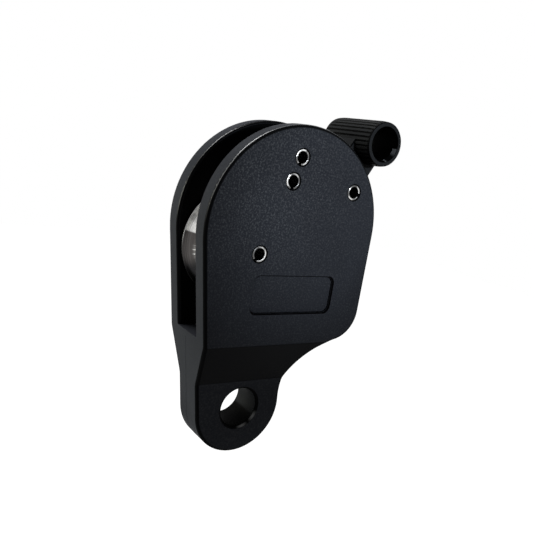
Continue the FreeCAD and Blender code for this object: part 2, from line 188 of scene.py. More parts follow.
def join_faces(piece: Piece) -> None:
    """Merge a piece's doubled corners and drop faces without area."""
    activate(piece)
    if piece.data.has_custom_normals:
        bpy.ops.mesh.customdata_custom_splitnormals_clear()
    edit_all(piece)
    bpy.ops.mesh.remove_doubles(threshold=JOIN_MM * MM)
    bpy.ops.mesh.dissolve_degenerate(threshold=JOIN_MM * MM)
    leave_edit()


def merged_copy(node: Piece, name: str) -> Piece:
    """Copy a frame node and join its loose triangles.

    Args:
        node: the frame node's object.
        name: the new piece's name.

    Returns:
        The new piece, at the origin.
    """
    activate(node)
    bpy.ops.object.duplicate()
    piece = bpy.context.object
    piece.name = name
    piece.parent = None
    piece.matrix_world = Matrix.Identity(4)
    for key in list(piece.keys()):
        del piece[key]
    join_faces(piece)
    return piece


def dress(piece: Piece, material: Material) -> None:
    """Give a piece one material all over."""
    piece.data.materials.clear()
    piece.data.materials.append(material)


@dataclass(frozen=True)
class Kit:
    """The frame's nodes by name, and the materials by slot."""

    nodes: dict[str, Piece]
    materials: dict[Slot, Material]

    def hang(self, piece: Piece, slot: Slot, body: Body) -> None:
        """Dress a finished piece with its slot's material and hang it on its body.

        Args:
            piece: the finished mesh object.
            slot: its material slot.
            body: the rigid body that it rides on.
        """
        dress(piece, self.materials[slot])
        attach(piece, body.value)
        log.info("%s: %d faces, rides on %s", piece.name, len(piece.data.polygons), body.value)

    def stand_in(self, node: str, name: str, slot: Slot, body: Body,
                 crease_degrees: float = CREASE_DEGREES) -> None:
        """Replace a frame node by its own shape, joined and shaded smooth.

        Args:
            node: the name of the node that is replaced.
            name: the new piece's name.
            slot: its material slot.
            body: the rigid body that it rides on.
            crease_degrees: edges sharper than this stay creased.
        """
        piece = merged_copy(self.nodes[node], name)
        shade(piece, crease_degrees)
        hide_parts(node)
        self.hang(piece, slot, body)


def drawn_outline(name: str, corners: list[Vector]) -> Piece:
    """Draw a closed outline: a tiny plane is drawn together to a point, which is then extruded.

    Args:
        name: the new piece's name.
        corners: the outline's corners in metres, the last joined to the first.

    Returns:
        The new piece, in edit mode and all selected.
    """
    deselect_all()
    bpy.ops.mesh.primitive_plane_add(size=MM, location=corners[0])
    piece = bpy.context.object
    piece.name = name
    bpy.ops.object.transform_apply(location=True, rotation=True, scale=True)
    edit_all(piece)
    bpy.ops.mesh.merge(type="CENTER")
    for start, end in zip(corners, corners[1:] + corners[:1]):
        bpy.ops.mesh.extrude_vertices_move(TRANSFORM_OT_translate={"value": end - start})
    bpy.ops.mesh.select_all(action="SELECT")
    bpy.ops.mesh.remove_doubles(threshold=DRAWN_MM * MM)
    bpy.ops.mesh.select_all(action="SELECT")
    return piece


def arc_points(centre: Pair, radius: float, start: float, end: float, count: int) -> list[Pair]:
    """Return points along an arc, both ends included.

    Args:
        centre: of the arc.
        radius: of the arc.
        start: its first angle in degrees.
        end: its last angle in degrees.
        count: how many steps it is cut into.

    Returns:
        The points as pairs.
    """
    angles = [math.radians(start + (end - start) * index / count) for index in range(count + 1)]
    across, along = centre
    return [(across + radius * math.cos(angle), along + radius * math.sin(angle)) for angle in angles]


def mirrored(section: list[Pair]) -> list[Pair]:
    """Return a section's points on the other side of the middle plane, in reverse order."""
    return [(radius, -along) for radius, along in reversed(section)]


class NodeTree:
    """Adds and joins shader nodes in one tree."""

    def __init__(self, tree: bpy.types.NodeTree) -> None:
        """Keep the tree that nodes are added to."""
        self.tree = tree

    def put(self, socket: Socket, value: object) -> None:
        """Set an input socket to a value, or join it to an output socket."""
        if isinstance(value, Socket):
            self.tree.links.new(value, socket)
        else:
            socket.default_value = value

    def set(self, node: bpy.types.Node, **inputs: object) -> None:
        """Set or join a node's inputs by name, with spaces in names written as underscores."""
        for name, value in inputs.items():
            self.put(node.inputs[name.replace("_", " ")], value)

    def add(self, kind: str, **inputs: object) -> bpy.types.Node:
        """Add a node.

        Args:
            kind: the node's type.
            inputs: as for set.

        Returns:
            The new node.
        """
        node = self.tree.nodes.new(kind)
        self.set(node, **inputs)
        return node

    def group(self, name: str, **inputs: object) -> bpy.types.Node:
        """Add a shared node group.

        Args:
            name: the group's name.
            inputs: as for set.

        Returns:
            The new node.
        """
        node = self.tree.nodes.new("ShaderNodeGroup")
        node.node_tree = bpy.data.node_groups[name]
        self.set(node, **inputs)
        return node

    def noise(self, place: Socket, scale: object, detail: float = 2.0, roughness: float = 0.5) -> Socket:
        """Add a noise texture and return its value's socket."""
        inputs = {"Vector": place, "Scale": scale, "Detail": detail, "Roughness": roughness}
        return self.add("ShaderNodeTexNoise", **inputs).outputs[0]

    def facing(self, normal: Socket) -> Socket:
        """Return a socket that is 1 on faces across Y and 0 on faces along it."""
        return self.math("ABSOLUTE", self.add("ShaderNodeSeparateXYZ", Vector=normal).outputs["Y"])

    def operate(self, kind: str, operation: str, values: Sequence[object]) -> bpy.types.Node:
        """Add a node that does a sum.

        Args:
            kind: the node's type.
            operation: the sum to do.
            values: numbers, vectors or output sockets.

        Returns:
            The new node.
        """
        node = self.tree.nodes.new(kind)
        node.operation = operation
        for socket, value in zip(node.inputs, values):
            self.put(socket, value)
        return node

    def vector_math(self, operation: str, *values: object) -> bpy.types.Node:
        """Add a vector maths node and return it."""
        return self.operate("ShaderNodeVectorMath", operation, values)

    def math(self, operation: str, *values: object) -> Socket:
        """Add a maths node and return the result's socket."""
        return self.operate("ShaderNodeMath", operation, values).outputs[0]

    def product(self, first: object, *others: object) -> Socket:
        """Multiply numbers or sockets and return the result's socket."""
        for other in others:
            first = self.math("MULTIPLY", first, other)
        return first

    def ramp(self, value: Socket, low: float, high: float, to_low: float = 0.0,
             to_high: float = 1.0) -> Socket:
        """Map a value smoothly from one range to another.

        Args:
            value: the value's socket.
            low: the value where the result starts.
            high: the value where the result ends.
            to_low: the result up to the start.
            to_high: the result from the end on.

        Returns:
            The result's socket.
        """
        node = self.tree.nodes.new("ShaderNodeMapRange")
        node.interpolation_type = "SMOOTHSTEP"
        self.set(node, Value=value, From_Min=low, From_Max=high, To_Min=to_low, To_Max=to_high)
        return node.outputs["Result"]

    def fall(self, value: Socket, low: float, high: float, end: float = 0.0) -> Socket:
        """Return a socket that falls smoothly from 1 to its end as the value rises."""
        return self.ramp(value, low, high, 1.0, end)

    def band(self, value: Socket, edges: Sequence[float], end: float = 0.0) -> Socket:
        """Rise from 0 to 1 and fall again as the value rises.

        Args:
            value: the value's socket.
            edges: where the band starts, is full, fades and ends.
            end: what it falls to.

        Returns:
            The result's socket.
        """
        return self.product(self.ramp(value, *edges[:2]), self.fall(value, *edges[2:], end))

    def mix(self, factor: Socket, first: object, second: object) -> Socket:
        """Mix two colours.

        Args:
            factor: the second colour's share.
            first: a colour or an output socket.
            second: the same.

        Returns:
            The result's socket.
        """
        node = self.tree.nodes.new("ShaderNodeMix")
        node.data_type = "RGBA"
        self.put(node.inputs[0], factor)
        for index, value in ((6, first), (7, second)):
            self.put(node.inputs[index], (*value, 1.0) if isinstance(value, tuple) else value)
        return node.outputs[2]


def new_group(name: str, inputs: dict[str, object],
              outputs: Sequence[str]) -> tuple[NodeTree, dict, dict]:
    """Make an empty shader node group with named sockets.

    Args:
        name: the group's name.
        inputs: the default of each input by name, or None for a vector that is always joined.
        outputs: the names of the outputs, each of them one number.

    Returns:
        The tree, the inputs' sockets by name, and the outputs' sockets by name.
    """
    group = bpy.data.node_groups.new(name, "ShaderNodeTree")
    for label, default in inputs.items():
        kind = "NodeSocketFloat" if isinstance(default, float) else "NodeSocketVector"
        socket = group.interface.new_socket(label, in_out="INPUT", socket_type=kind)
        if default is not None:
            socket.default_value = default
    for label in outputs:
        group.interface.new_socket(label, in_out="OUTPUT", socket_type="NodeSocketFloat")
    start = group.nodes.new("NodeGroupInput")
    end = group.nodes.new("NodeGroupOutput")
    return (
        NodeTree(group),
        {socket.name: socket for socket in start.outputs if socket.name},
        {socket.name: socket for socket in end.inputs if socket.name},
    )


def make_spark_grain() -> None:
    """Make the group for a spark-eroded mould face: fine pits in a loose mottle, on flat faces only; the
    mottle is painted sheen, strongest round one place and fading away from it.
    """
    tree, given, out = new_group(
        "spark_grain",
        {
            "Vector": None, "Normal": None, "Pit Scale": 3200.0, "Mottle Scale": 1900.0,
            "Cloud Scale": 45.0, "Side Share": 0.2, "Sheen Place": (-0.006, -0.0115, 0.076),
            "Sheen Reach": 0.05,
        },
        ("Height", "Mottle", "Cloud"),
    )
    place = given["Vector"]
    pits = tree.noise(place, given["Pit Scale"], detail=3.0)
    mottle = tree.noise(place, given["Mottle Scale"], detail=5.0, roughness=0.7)
    cloud = tree.noise(place, given["Cloud Scale"])
    flat = tree.ramp(tree.facing(given["Normal"]), 0.93, 0.995)
    share = tree.math("MAXIMUM", flat, given["Side Share"])
    # painted sheen: the mottle is full round the given place and falls to 0.35 of that further away
    far = tree.vector_math("DISTANCE", place, given["Sheen Place"])
    reach = tree.math("DIVIDE", far.outputs["Value"], given["Sheen Reach"])
    worn = tree.fall(reach, 0.1, 1.0, 0.35)
    tree.put(out["Height"], tree.product(pits, share))
    tree.put(out["Mottle"], tree.product(tree.ramp(mottle, 0.46, 0.66), share, worn))
    tree.put(out["Cloud"], tree.ramp(cloud, 0.35, 0.65))


def make_edge_zones() -> None:
    """Make the group that finds flat faces, rounded edges, rims and slopes by how far they face Y."""
    bands = {
        "Rounding": (0.1, 0.3, 0.945, 0.997),
        "Rim Line": (0.22, 0.36, 0.42, 0.58),
        "Slope": (0.915, 0.925, 0.939, 0.949),
    }
    tree, given, out = new_group("edge_zones", {"Normal": None}, ("Flat", *bands))
    facing = tree.facing(given["Normal"])
    tree.put(out["Flat"], tree.ramp(facing, 0.96, 0.99))
    for name, edges in bands.items():
        tree.put(out[name], tree.band(facing, edges))


def make_about_axis() -> None:
    """Make the group that gives the distance from an axis along Y and the place along it, in
    millimetres, and the turn about it, in degrees above the side towards -X."""
    tree, given, out = new_group(
        "about_axis", {"Vector": None, "Centre": (0.0, 0.0, 0.0)}, ("Radius", "Turn", "Along"),
    )
    offset = tree.vector_math("SUBTRACT", given["Vector"], given["Centre"])
    parts = tree.add("ShaderNodeSeparateXYZ", Vector=offset.outputs["Vector"])
    across = tree.product(parts.outputs["X"], -1 / MM)
    height = tree.product(parts.outputs["Z"], 1 / MM)
    squares = tree.math("ADD", tree.product(across, across), tree.product(height, height))
    tree.put(out["Radius"], tree.math("SQRT", squares))
    tree.put(out["Turn"], tree.product(tree.math("ARCTAN2", height, across), 180 / math.pi))
    tree.put(out["Along"], tree.product(parts.outputs["Y"], 1 / MM))


def make_turning_marks() -> None:
    """Make the group for fine rings left by turning and polishing, from a radius and a place along
    the axis in millimetres."""
    tree, given, out = new_group(
        "turning_marks", {"Radius": 0.0, "Along": 0.0, "Ring Scale": 4.0}, ("Height", "Streak"),
    )
    place = tree.add("ShaderNodeCombineXYZ", X=given["Radius"], Y=given["Along"])
    rings = tree.noise(place.outputs[0], given["Ring Scale"])
    tree.put(out["Height"], rings)
    tree.put(out["Streak"], tree.ramp(rings, 0.38, 0.62))


class Canvas:
    """A new material with its tree, its shader, and by name the values that its colours use."""

    def __init__(self, name: str) -> None:
        """Make the material, with the object's own coordinates and normals as its first values."""
        self.material = bpy.data.materials.new(name)
        self.material.use_nodes = True
        self.tree = NodeTree(self.material.node_tree)
        self.shader = self.material.node_tree.nodes["Principled BSDF"]
        self.values = dict(self.tree.add("ShaderNodeTexCoord").outputs)

    def use(self, name: str, **inputs: object) -> None:
        """Add a shared group to the material and its outputs to the values."""
        self.values.update(self.tree.group(name, **inputs).outputs)

    def bump(self, depth_mm: float, strength: float) -> None:
        """Give the surface a fine relief from the value called Height."""
        inputs = {"Height": self.values["Height"], "Distance": depth_mm * MM, "Strength": strength}
        self.tree.set(self.shader, Normal=self.tree.add("ShaderNodeBump", **inputs).outputs["Normal"])


@dataclass(frozen=True)
class Finish:
    """What every finish has: the material's name and its plain colour."""

    name: str
    colour: Colour

    def own_colour(self, canvas: Canvas, colour: Socket) -> Socket:
        """Return the colour as it is, for a finish without zones of its own."""
        return colour


@dataclass(frozen=True)
class MouldedPlastic(Finish):
    """Black glass-filled plastic: a spark-eroded grain on flat faces, with painted shade on its
    roundings and slopes.
    """

    speckle: Colour  # its colour where the grain catches the light
    smooth: Colour = (0.0013, 0.0014, 0.0017)  # painted shade: its colour on the roundings
    slope: Colour = (0.0055, 0.0056, 0.0062)  # painted shade: its colour on the slopes between head and tang, which face down
    stain: Colour = (0.006, 0.006, 0.007)  # the colour of the faint dark clouds
    stain_from: float = 0.1  # how thick a cloud is where it begins to show
    stain_share: float = 0.13  # how strong the clouds are
    roughness: float = 0.5  # of the plain surface
    rough_change: float = 0.05  # how far the clouds change it
    specular: float = 0.01  # how strongly it reflects
    grain_mm: float = 0.02  # depth of the grain's bump
    grain_strength: float = 0.6  # how much of that depth shows
    side_share: float = 0.2  # how much of the grain the sides have

    def build(self) -> Material:
        """Make the material with its grain, its edges and the piece's own zones."""
        canvas = Canvas(self.name)
        tree, values = canvas.tree, canvas.values
        place, normal = values["Object"], values["Normal"]
        canvas.use("edge_zones", Normal=normal)
        canvas.use("spark_grain", Vector=place, Normal=normal, Side_Share=self.side_share)
        canvas.bump(self.grain_mm, self.grain_strength)
        low, high = self.roughness - self.rough_change, self.roughness + self.rough_change
        rough = tree.ramp(values["Cloud"], 0.0, 1.0, low, high)
        tree.set(canvas.shader, Specular_IOR_Level=self.specular, Roughness=rough)
        stained = tree.ramp(values["Cloud"], self.stain_from, 1.0, 0.0, self.stain_share)
        colour = tree.mix(values["Mottle"], self.colour, self.speckle)
        colour = tree.mix(stained, colour, self.stain)
        # painted shade on the roundings
        colour = tree.mix(values["Rounding"], colour, self.smooth)
        # painted shade on the downward slopes
        colour = tree.mix(values["Slope"], colour, self.slope)
        tree.set(canvas.shader, Base_Color=self.own_colour(canvas, colour))
        return canvas.material


@dataclass(frozen=True)
class BlockPlastic(MouldedPlastic):
    """The block's plastic: painted shade in the rope slot and on the tang hole's mouth, painted light
    and shade on the hole's wall, and a thin painted highlight line where a rim meets its rounding. Turns
    are in degrees round the hole, above the side towards -X."""

    highlight_paint: Colour = (0.07, 0.072, 0.075)  # the painted highlight lines' colour
    slot_shade: Colour = (0.0015, 0.0016, 0.0018)  # painted shade: the colour of the slot's inner walls
    slot_half_mm: float = 5.7  # half the slot's width and a little more
    hole_wall: Colour = (0.0115, 0.0122, 0.014)  # the colour of the hole's wall where it is painted as lit
    hole_shade: Colour = (0.0018, 0.0018, 0.0018)  # painted shade on the same wall, low down
    lit_above: Pair = (-30.0, 0.0)  # turns between which the painted light on the wall grows
    lit_below: Pair = (-156.0, -148.0)  # turns between which it fades to the painted shade again
    mouth: Colour = (0.0012, 0.0012, 0.0014)  # painted shade: the colour of the hole's rounded mouth
    hole_reach_mm: float = 7.3  # the hole's radius with its mouth
    line_mm: Pair = (58.0, 76.0)  # heights between which the front cheek's painted highlight line fades in
    # heights where the painted highlight line inside the cheeks starts, is full, fades and ends
    inner_line_mm: tuple[float, ...] = (56.0, 64.0, 80.0, 89.0)
    inner_share: float = 0.75  # how strong the painted highlight is on that line
    rim_from_mm: float = 8.0  # from the middle plane to between the cheeks' edges
    gloss_roughness: float = 0.25  # roughness of the gloss on the lines and the hole's rim
    gloss_ior: float = 1.8  # how strongly that gloss reflects
    gloss_share: float = 0.38  # how much gloss the lines have
    glint_share: float = 0.42  # how much the hole's rim has at its glints
    glint_turns: tuple[float, ...] = (-108.0, -148.0)  # where those are
    glint_reach: float = 20.0  # how many degrees from there they fade out

    def painted_highlight_lines(self, canvas: Canvas) -> Socket:
        """Find the painted highlight lines, on the front cheek's rim and inside the cheeks.

        Args:
            canvas: the material.

        Returns:
            The mask's socket.
        """
        tree, along = canvas.tree, canvas.values["Along"]
        height = tree.add("ShaderNodeSeparateXYZ", Vector=canvas.values["Object"]).outputs["Z"]
        outer = tree.product(
            tree.math("LESS_THAN", along, -self.rim_from_mm),
            tree.ramp(height, *(edge * MM for edge in self.line_mm)),
        )
        inner = tree.product(
            tree.math("GREATER_THAN", along, 0.0), tree.math("LESS_THAN", along, self.rim_from_mm),
            tree.band(height, [edge * MM for edge in self.inner_line_mm]), self.inner_share,
        )
        return tree.product(canvas.values["Rim Line"], tree.math("ADD", outer, inner))

    def own_colour(self, canvas: Canvas, colour: Socket) -> Socket:
        """Add the painted highlight lines, painted shade on the slot's walls and the hole's mouth,
        painted light and shade on the hole's wall, and set the gloss.

        Args:
            canvas: the material.
            colour: the colour so far.

        Returns:
            The colour's socket.
        """
        tree, values = canvas.tree, canvas.values
        canvas.use("about_axis", Vector=values["Object"])
        turn = values["Turn"]
        line = self.painted_highlight_lines(canvas)
        # painted highlight along the rims' lines
        colour = tree.mix(line, colour, self.highlight_paint)
        away = tree.math("ABSOLUTE", values["Along"])
        # painted shade on the slot's inner walls
        slot = tree.product(tree.math("LESS_THAN", away, self.slot_half_mm), values["Flat"])
        colour = tree.mix(slot, colour, self.slot_shade)
        near = tree.math("LESS_THAN", values["Radius"], self.hole_reach_mm)
        bore = tree.product(near, tree.math("SUBTRACT", 1.0, values["Flat"]))
        mouth = tree.product(bore, values["Rounding"])
        # painted light and shade on the hole's wall, by its turn
        lit = tree.math("MAXIMUM", tree.ramp(turn, *self.lit_above), tree.fall(turn, *self.lit_below))
        colour = tree.mix(bore, colour, tree.mix(lit, self.hole_shade, self.hole_wall))
        gloss = tree.product(line, self.gloss_share)
        for angle in self.glint_turns:
            off = tree.math("ABSOLUTE", tree.math("SUBTRACT", turn, angle))
            glint = tree.product(tree.fall(off, 0.0, self.glint_reach), mouth, self.glint_share)
            gloss = tree.math("MAXIMUM", gloss, glint)
        rough = canvas.shader.inputs["Roughness"].links[0].from_socket
        tree.set(canvas.shader, Coat_Weight=gloss, Coat_Roughness=self.gloss_roughness,
                 Coat_IOR=self.gloss_ior, Roughness=tree.math("MAXIMUM", rough, slot))
        # painted shade on the hole's rounded mouth
        return tree.mix(mouth, colour, self.mouth)


@dataclass(frozen=True)
class LeverPlastic(MouldedPlastic):
    """The lever's plastic, with painted shade in the bore, in the flutes of its handle and under it, and
    painted highlights on the key's ends. Turns are in degrees round the handle, above the side towards
    -X."""

    handle_centre: Vector = ORIGIN  # on the handle's axis, in metres
    bore_mm: float = 5.6  # the bore's radius
    key_mm: float = 4.8  # the radius of the key's inner face
    land_mm: float = 6.98  # the radius of the lands between the flutes
    flute_mm: float = 0.12  # how far below the lands a flute is fully in painted shade
    wall_mm: float = 0.5  # from the bore to where the flutes may start
    grip_mm: float = 0.3  # how far past the lands the handle reaches
    spare_mm: Pair = (0.05, 0.04)  # allowance past the bore's wall, and round the key
    dark: Colour = (0.001, 0.001, 0.0012)  # the colour of the painted shade in the bore, the flutes, under the handle and on the key
    key_highlight: Colour = (0.06, 0.061, 0.064)  # painted highlight: the colour of the key's ramp and ends
    low_end: Pair = (-158.0, -142.0)  # turns between which the painted highlight on the key's lower end fades out
    high_end: Pair = (-117.0, -111.0)  # turns between which the painted highlight on its upper end fades in
    under_shade_turns: Pair = (-52.0, -8.0)  # where the painted shade under the handle is full, and where it starts
    under_shade_share: float = 0.88  # how strong that painted shade is

    def own_colour(self, canvas: Canvas, colour: Socket) -> Socket:
        """Paint shade into the flutes, the bore and the underside, and paint highlights on the key's
        ends.

        Args:
            canvas: the material.
            colour: the colour so far.

        Returns:
            The colour's socket.
        """
        tree, values = canvas.tree, canvas.values
        canvas.use("about_axis", Vector=values["Object"], Centre=self.handle_centre)
        radius, turn = values["Radius"], values["Turn"]
        past_bore, round_key = self.spare_mm
        flute = tree.product(
            tree.fall(radius, self.land_mm - self.flute_mm, self.land_mm),
            tree.math("GREATER_THAN", radius, self.bore_mm + self.wall_mm),
        )
        bore = tree.math("LESS_THAN", radius, self.bore_mm + past_bore)
        grip = tree.math("LESS_THAN", radius, self.land_mm + self.grip_mm)
        under = tree.product(tree.fall(turn, *self.under_shade_turns), self.under_shade_share, grip)
        not_flat = tree.math("SUBTRACT", 1.0, values["Flat"])
        # painted shade in the flutes, the bore and under the handle
        for mask in (flute, bore, under):
            colour = tree.mix(tree.product(mask, not_flat), colour, self.dark)
        key = tree.product(
            tree.math("LESS_THAN", radius, self.bore_mm - round_key),
            tree.math("GREATER_THAN", radius, self.key_mm + round_key),
        )
        # painted shade on the key, away from its ends
        colour = tree.mix(key, colour, self.dark)
        # painted highlights on the key's ends
        ends = tree.math("ADD", tree.fall(turn, *self.low_end), tree.ramp(turn, *self.high_end))
        return tree.mix(tree.product(key, ends), colour, self.key_highlight)


@dataclass(frozen=True)
class StainlessSteel(Finish):
    """Stainless steel with fine turning marks about an axis along Y."""

    streak: Colour  # its colour along the marks
    roughness: float  # of the surface
    mark_mm: float  # depth of the marks' bump
    centre: Vector = ORIGIN  # on the marks' axis, in metres
    rough_change: float = 0.08  # how much rougher the marks are
    mark_strength: float = 0.5  # how much of the bump's depth shows

    def build(self) -> Material:
        """Make the material with its marks and the piece's own zones."""
        canvas = Canvas(self.name)
        tree, values = canvas.tree, canvas.values
        canvas.use("about_axis", Vector=values["Object"], Centre=self.centre)
        canvas.use("turning_marks", Radius=values["Radius"], Along=values["Along"])
        canvas.bump(self.mark_mm, self.mark_strength)
        streak = values["Streak"]
        rough = tree.ramp(streak, 0.0, 1.0, self.roughness, self.roughness + self.rough_change)
        tree.set(canvas.shader, Metallic=1.0, Roughness=rough)
        colour = self.own_colour(canvas, tree.mix(streak, self.colour, self.streak))
        tree.set(canvas.shader, Base_Color=colour)
        return canvas.material


@dataclass(frozen=True)
class PinSteel(StainlessSteel):
    """The pins' steel, rubbed bright in patches at the ends and dark along the bore."""

    bore: Colour = (0.002, 0.002, 0.0022)  # its colour along the axis, where a bore lies in the dark
    bore_facing: Pair = (0.25, 0.6)  # how far a face may face Y and be dark, and where it is bright
    worn: Colour = (0.62, 0.62, 0.61)  # its colour in the bright patches
    patch_scale: float = 420.0  # how small those are
    patch_edges: Pair = (0.42, 0.58)  # the noise's values between which one begins

    def own_colour(self, canvas: Canvas, colour: Socket) -> Socket:
        """Brighten patches and darken the bore.

        Args:
            canvas: the material.
            colour: the colour so far.

        Returns:
            The colour's socket.
        """
        tree, values = canvas.tree, canvas.values
        along = tree.fall(tree.facing(values["Normal"]), *self.bore_facing)
        patches = tree.ramp(tree.noise(values["Object"], self.patch_scale), *self.patch_edges)
        return tree.mix(along, tree.mix(patches, colour, self.worn), self.bore)


@dataclass(frozen=True)
class SheaveSteel(StainlessSteel):
    """The rope wheel's steel: a dulled groove with a painted reflection on one stretch, painted glints
    and painted shade low down.
    Turns are in degrees round the wheel, above the side towards -X. Four of them say where a zone
    starts, is full, fades and ends."""

    dull: Colour = (0.085, 0.08, 0.077)  # the groove's colour
    dull_streak: Colour = (0.055, 0.051, 0.05)  # the same along its marks
    shaded: Colour = (0.02, 0.02, 0.021)  # painted shade: the groove's colour low down
    shaded_turns: Pair = (-34.0, -16.0)  # where the painted shade is full, and where it ends
    polished: Colour = (0.8, 0.8, 0.8)  # painted reflection: the colour of the bright stretch and of the glints
    reflection_turns: tuple[float, ...] = (9.5, 11.5, 60.0, 80.0)  # the stretch of painted reflection
    edge_share: float = 0.8  # how bright the painted reflection is at the groove's edges
    edge_mm: float = 1.0  # from how far inside an edge the painted reflection dims
    streak_turns: tuple[float, ...] = (20.0, 23.0, 26.0, 30.0)  # a duller streak across the painted reflection
    streak_share: float = 0.72  # how bright the painted reflection is in that streak
    metal_share: float = 0.45  # how metallic the painted reflection and glints are
    glint_paint_turns: tuple[float, ...] = (-21.0, -18.0, -7.0, -3.0)  # painted glints: the turns of the short bright strokes
    glint_paint_along: Pair = (3.0, 2.0)  # from the middle plane, in millimetres, where the painted glints start and are full
    glint_paint_waves: float = 1.15  # radians of the painted glints for each degree of turn
    glint_paint_shares: Pair = (0.08, 0.75)  # how bright the groove is between two painted glints, and on one
    lip: Colour = (0.011, 0.011, 0.0115)  # painted shade: the colour of the lips' round low down
    lip_turns: Pair = (2.0, 14.0)  # turns over which the lip's painted shade gives way to the groove's colour
    round_mm: Pair = (0.25, 0.05)  # from how far below the rim the round starts, and is full
    glint: Colour = (0.55, 0.55, 0.55)  # painted highlight: the colour of the line where lip and groove meet
    glint_turns: tuple[float, ...] = (-8.0, 14.0, 46.0, 66.0)  # the turns of that painted highlight line
    glint_rest: float = 0.1  # how bright the painted highlight stays past its end
    glint_mm: Pair = (0.12, 0.3)  # how far past the groove's edge the painted highlight fades, and ends
    groove_half_mm: float = 4.2  # half the groove's width
    spare_mm: float = 0.02  # allowance on that half
    groove_reach_mm: float = 4.0  # how far below the rim the groove goes, and a little more
    rim_mm: float = 17.0  # the wheel's radius

    def groove(self, canvas: Canvas, away: Socket) -> Socket:
        """Colour the groove with its painted reflection, painted glints and painted shade, and make the
        painted bright places less metallic.

        Args:
            canvas: the material.
            away: the distance from the middle plane.

        Returns:
            The colour's socket.
        """
        tree, turn = canvas.tree, canvas.values["Turn"]
        start, full, fade, end = self.streak_turns
        into = tree.fall(turn, start, full, self.streak_share)
        streaked = tree.math("MAXIMUM", into, tree.ramp(turn, fade, end))
        inner = tree.fall(away, self.groove_half_mm - self.edge_mm, self.groove_half_mm, self.edge_share)
        # painted reflection on one stretch of the groove
        bright = tree.product(tree.band(turn, self.reflection_turns), streaked, inner)
        # painted glints: short bright strokes across the groove
        waves = tree.math("SINE", tree.product(turn, self.glint_paint_waves))
        near = tree.ramp(canvas.values["Along"], *self.glint_paint_along)
        shares = tree.ramp(waves, 0.5, 1.0, *self.glint_paint_shares)
        marks = tree.product(tree.band(turn, self.glint_paint_turns), near, shares)
        within = tree.product(bright, tree.math("LESS_THAN", away, self.groove_half_mm))
        painted_bright = tree.math("MAXIMUM", within, marks)
        tree.set(canvas.shader, Metallic=tree.ramp(painted_bright, 0.0, 1.0, 1.0, self.metal_share))
        colour = tree.mix(canvas.values["Streak"], self.dull, self.dull_streak)
        # painted shade low in the groove
        colour = tree.mix(tree.fall(turn, *self.shaded_turns), colour, self.shaded)
        # the painted reflection and the painted glints
        for mask in (bright, marks):
            colour = tree.mix(mask, colour, self.polished)
        return colour

    def own_colour(self, canvas: Canvas, colour: Socket) -> Socket:
        """Colour the groove, the lips with their painted shade and the painted highlight line between
        them.

        Args:
            canvas: the material.
            colour: the colour so far, kept on the wheel's sides.

        Returns:
            The colour's socket.
        """
        tree = canvas.tree
        radius, turn, along = (canvas.values[name] for name in ("Radius", "Turn", "Along"))
        away = tree.math("ABSOLUTE", along)
        inside = tree.math("LESS_THAN", away, self.groove_half_mm + self.spare_mm)
        outer = tree.math("GREATER_THAN", radius, self.rim_mm - self.groove_reach_mm)
        colour = tree.mix(tree.product(inside, outer), colour, self.groove(canvas, away))
        # painted highlight along the line where lip and groove meet
        line = tree.fall(away, *(self.groove_half_mm + reach for reach in self.glint_mm))
        lit = tree.band(turn, self.glint_turns, self.glint_rest)
        # painted shade on the lips' round low down
        lip = tree.mix(tree.ramp(turn, *self.lip_turns), self.lip, self.dull_streak)
        lip = tree.mix(tree.product(line, lit), lip, self.glint)
        on_round = tree.ramp(radius, *(self.rim_mm - depth for depth in self.round_mm))
        return tree.mix(tree.product(on_round, tree.math("SUBTRACT", 1.0, inside)), colour, lip)


@dataclass(frozen=True)
class Acetal(Finish):
    """Off-white bearing plastic with a faint cloudiness."""

    name: str = "bearing_acetal"
    colour: Colour = (0.72, 0.7, 0.64)
    cloudy: Colour = (0.62, 0.6, 0.55)
    cloud_scale: float = 400.0
    roughness: float = 0.4

    def build(self) -> Material:
        """Make the material."""
        canvas = Canvas(self.name)
        clouds = canvas.tree.noise(canvas.values["Object"], self.cloud_scale)
        colour = canvas.tree.mix(clouds, self.colour, self.cloudy)
        canvas.tree.set(canvas.shader, Base_Color=colour, Roughness=self.roughness)
        return canvas.material


def make_materials(sheave_centre: Vector, handle_centre: Vector) -> dict[Slot, Material]:
    """Build the shared groups, then every material of the lock.

    Args:
        sheave_centre: a point on the rope wheel's axis, in metres.
        handle_centre: a point on the handle's axis, in metres.

    Returns:
        The materials by slot.
    """
    for make_group in (make_spark_grain, make_edge_zones, make_about_axis, make_turning_marks):
        make_group()
    finishes = {
        Slot.BODY: BlockPlastic("block_plastic", (0.0185, 0.02, 0.0245), (0.06, 0.062, 0.067)),
        Slot.LEVER: LeverPlastic(
            "lever_plastic", (0.013, 0.0135, 0.0145), (0.02, 0.021, 0.023), roughness=0.42,
            grain_mm=0.01, side_share=0.4, handle_centre=handle_centre,
        ),
        Slot.SHEAVE: SheaveSteel(
            "polished_steel", (0.6, 0.59, 0.57), (0.5, 0.49, 0.47), 0.2, 0.001, sheave_centre,
        ),
        Slot.PIN: PinSteel("pin_steel", (0.12, 0.12, 0.12), (0.09, 0.09, 0.09), 0.25, 0.002),
        Slot.JAW: StainlessSteel("jaw_steel", (0.42, 0.41, 0.4), (0.34, 0.33, 0.32), 0.35, 0.01),
        Slot.SPRING: StainlessSteel("spring_steel", (0.5, 0.5, 0.48), (0.42, 0.42, 0.4), 0.28, 0.004),
        Slot.BEARING: Acetal(),
    }
    return {slot: finish.build() for slot, finish in finishes.items()}


